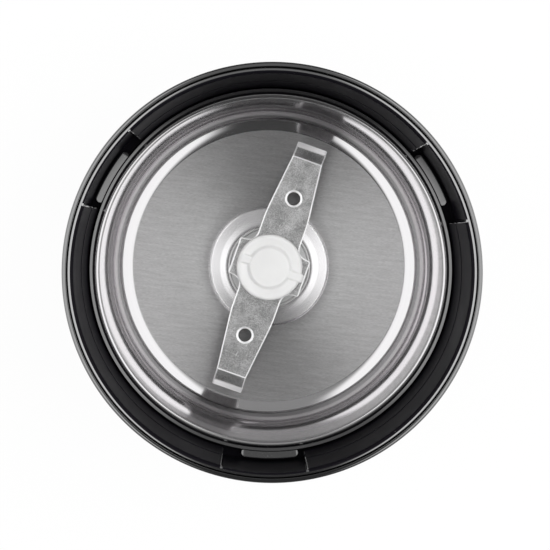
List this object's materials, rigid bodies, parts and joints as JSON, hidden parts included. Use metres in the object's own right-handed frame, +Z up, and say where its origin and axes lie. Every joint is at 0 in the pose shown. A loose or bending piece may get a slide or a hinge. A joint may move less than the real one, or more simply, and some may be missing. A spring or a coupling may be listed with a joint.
{
  "type": "electric spice grinder",
  "caption": "Round electric blade grinder with its lid off: black motor base with a well, removable steel bowl on bayonet lugs, turned-up two-armed blade, push button.",
  "frame": {"origin": "on the table, under the middle of the base", "axes": "+Z up along the blade's axis, -Y towards the push button, +Y towards the cord inlet"},
  "size_m": [0.108, 0.1102, 0.148],
  "materials": {
    "gloss_black": "high gloss",
    "collar_black": "semi gloss",
    "matte_black": "fine texture",
    "black_rubber": "matt",
    "bowl_steel": "polished wall, brushed floor",
    "blade_steel": "satin, stamped",
    "white_plastic": "satin",
    "bright_steel": "bright",
    "zinc_steel": "zinc plated",
    "lamination_steel": "stacked sheets",
    "copper": "enamelled wire",
    "bronze": "sintered",
    "carbon": "dull",
    "nylon": "natural",
    "board": "phenolic board",
    "capacitor_yellow": "moulded",
    "ferrite": "dull",
    "wire_grey": "insulation"
  },
  "bodies": {
    "base": {"outer_casing": "gloss_black", "well_liner": "gloss_black", "base_plate": "matte_black", "rubber_feet": "black_rubber", "base_screws": "bright_steel", "cord_inlet": "black_rubber", "well_seal": "black_rubber", "lower_bracket": "zinc_steel", "upper_bracket": "zinc_steel", "lower_bearing": "bronze", "upper_bearing": "bronze", "stator_core": "lamination_steel", "field_coils": "copper", "stator_spacers": "bright_steel", "stator_bolts": "bright_steel", "motor_grommets": "black_rubber", "motor_screws": "bright_steel", "brush_holders": "matte_black", "carbon_brushes": "carbon", "button_bezel": "matte_black", "button_spring": "bright_steel", "switch_card": "board", "microswitch": "matte_black", "filter_card": "board", "suppressor_capacitor": "capacitor_yellow", "choke_coils": "ferrite", "terminal_block": "nylon", "lead_wires": "wire_grey"},
    "rotor": {"rotor_shaft": "bright_steel", "cooling_fan": "nylon", "thrust_washers": "bright_steel", "commutator": "copper", "armature_core": "lamination_steel", "armature_windings": "copper", "drive_dog": "nylon"},
    "bowl_seal": {"bowl_gasket": "black_rubber"},
    "bowl": {"grinding_bowl": "bowl_steel", "bowl_collar": "collar_black", "bowl_base": "matte_black", "bowl_cradle": "matte_black", "boss_core": "matte_black", "bowl_bush": "bronze", "shaft_seal": "black_rubber", "bush_nut": "bronze"},
    "blade": {"blade_shaft": "bright_steel", "blade_washer": "blade_steel", "blade": "blade_steel", "hub_cap": "white_plastic", "shaft_clip": "bright_steel", "driven_dog": "nylon"},
    "button": {"push_button": "matte_black", "switch_plunger": "white_plastic"}
  },
  "joints": [
    {"name": "rotor_spin", "type": "hinge", "parent": "base", "child": "rotor", "pos_m": [0, 0, 0.05], "axis": [0, 0, 1], "continuous": true},
    {"name": "bowl_lift", "type": "slide", "parent": "base", "child": "bowl_seal", "axis": [0, 0, 1], "range_m": [0, 0.075]},
    {"name": "bowl_turn", "type": "hinge", "parent": "bowl_seal", "child": "bowl", "pos_m": [0, 0, 0.116], "axis": [0, 0, 1], "range_deg": [-26, 0]},
    {"name": "blade_spin", "type": "hinge", "parent": "bowl", "child": "blade", "pos_m": [0, 0, 0.1], "axis": [0, 0, 1], "continuous": true},
    {"name": "button_press", "type": "slide", "parent": "base", "child": "button", "axis": [0, 1, 0], "range_m": [0, 0.0025], "stiffness_N_per_m": 500, "springref_m": -0.002, "deforming": ["button_spring"]}
  ],
  "couplings": [
    {"joint": "blade_spin", "follows": "rotor_spin", "ratio": 1}
  ]
}
